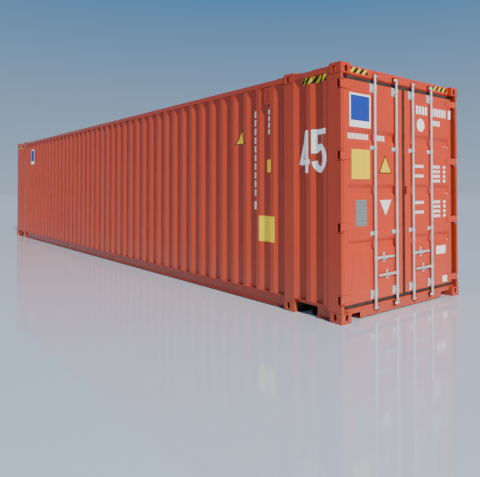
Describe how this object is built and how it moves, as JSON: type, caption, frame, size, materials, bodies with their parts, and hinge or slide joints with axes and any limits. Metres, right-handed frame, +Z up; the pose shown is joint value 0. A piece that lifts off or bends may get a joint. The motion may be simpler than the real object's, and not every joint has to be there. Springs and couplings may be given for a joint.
{
  "type": "shipping container",
  "caption": "Hollow steel freight container with pressed walls, hollow corner castings, a plywood deck and two full-height end doors held by cam-ended lock rods.",
  "frame": {"origin": "centre of the rectangle that the bottom corner castings stand on", "axes": "+X along the length towards the doors, +Y to the right when facing the doors from outside, +Z up"},
  "size_m": [13.716, 2.438, 2.896],
  "materials": {
    "shell_paint": "satin oxide-red paint, lightly weathered",
    "casting_paint": "satin oxide-red paint on cast steel",
    "door_paint": "satin oxide-red paint",
    "underframe_paint": "matte dark underseal",
    "galvanised_steel": "galvanised",
    "keeper_paint": "satin red paint",
    "gasket_rubber": "matte",
    "deck_plywood": "sealed plywood",
    "plate_aluminium": "brushed"
  },
  "bodies": {
    "container": {"corner_castings": "casting_paint", "middle_castings": "casting_paint", "rear_corner_posts": "shell_paint", "front_corner_posts": "shell_paint", "middle_posts": "shell_paint", "top_side_rails": "shell_paint", "bottom_side_rails": "shell_paint", "door_header": "door_paint", "door_sill": "door_paint", "front_top_rail": "shell_paint", "front_sill": "shell_paint", "left_side_wall": "shell_paint", "right_side_wall": "shell_paint", "front_wall": "shell_paint", "roof": "shell_paint", "roof_corner_plates": "shell_paint", "roof_bows": "shell_paint", "ventilators": "shell_paint", "floor": "deck_plywood", "crossmembers": "underframe_paint", "gooseneck_tunnel": "underframe_paint", "hinge_lugs": "shell_paint", "cam_keepers": "keeper_paint"},
    "left_door": {"left_door_frame": "door_paint", "left_door_panel": "door_paint", "left_door_gasket": "gasket_rubber", "left_door_hinges": "door_paint", "left_rod_brackets": "galvanised_steel", "left_handle_retainers": "galvanised_steel", "data_plate": "plate_aluminium"},
    "right_door": {"right_door_frame": "door_paint", "right_door_panel": "door_paint", "right_door_gasket": "gasket_rubber", "right_door_hinges": "door_paint", "right_rod_brackets": "galvanised_steel", "right_handle_retainers": "galvanised_steel", "door_stop_block": "keeper_paint"},
    "lock_rod_1": {"lock_rod_1": "galvanised_steel"},
    "handle_1": {"handle_1": "galvanised_steel"},
    "lock_rod_2": {"lock_rod_2": "galvanised_steel"},
    "handle_2": {"handle_2": "galvanised_steel"},
    "lock_rod_3": {"lock_rod_3": "galvanised_steel"},
    "handle_3": {"handle_3": "galvanised_steel"},
    "lock_rod_4": {"lock_rod_4": "galvanised_steel"},
    "handle_4": {"handle_4": "galvanised_steel"}
  },
  "joints": [
    {"name": "left_door_hinge", "type": "hinge", "parent": "container", "child": "left_door", "pos_m": [6.84, -1.199, 1.46], "axis": [0, 0, -1], "range_deg": [0, 265]},
    {"name": "right_door_hinge", "type": "hinge", "parent": "container", "child": "right_door", "pos_m": [6.84, 1.199, 1.46], "axis": [0, 0, 1], "range_deg": [0, 265]},
    {"name": "lock_rod_1_turn", "type": "hinge", "parent": "left_door", "child": "lock_rod_1", "pos_m": [6.834, -0.595, 1.45], "axis": [0, 0, 1], "range_deg": [-115, 0]},
    {"name": "lock_rod_2_turn", "type": "hinge", "parent": "left_door", "child": "lock_rod_2", "pos_m": [6.834, -0.175, 1.45], "axis": [0, 0, -1], "range_deg": [-115, 0]},
    {"name": "lock_rod_3_turn", "type": "hinge", "parent": "right_door", "child": "lock_rod_3", "pos_m": [6.834, 0.175, 1.45], "axis": [0, 0, 1], "range_deg": [-115, 0]},
    {"name": "lock_rod_4_turn", "type": "hinge", "parent": "right_door", "child": "lock_rod_4", "pos_m": [6.834, 0.595, 1.45], "axis": [0, 0, -1], "range_deg": [-115, 0]},
    {"name": "handle_1_lift", "type": "hinge", "parent": "lock_rod_1", "child": "handle_1", "pos_m": [6.834, -0.549, 0.67], "axis": [-1, 0, 0], "range_deg": [-30, 0]},
    {"name": "handle_2_lift", "type": "hinge", "parent": "lock_rod_2", "child": "handle_2", "pos_m": [6.834, -0.221, 0.461], "axis": [1, 0, 0], "range_deg": [-30, 0]},
    {"name": "handle_3_lift", "type": "hinge", "parent": "lock_rod_3", "child": "handle_3", "pos_m": [6.834, 0.221, 0.67], "axis": [-1, 0, 0], "range_deg": [-30, 0]},
    {"name": "handle_4_lift", "type": "hinge", "parent": "lock_rod_4", "child": "handle_4", "pos_m": [6.834, 0.549, 0.461], "axis": [1, 0, 0], "range_deg": [-30, 0]}
  ]
}
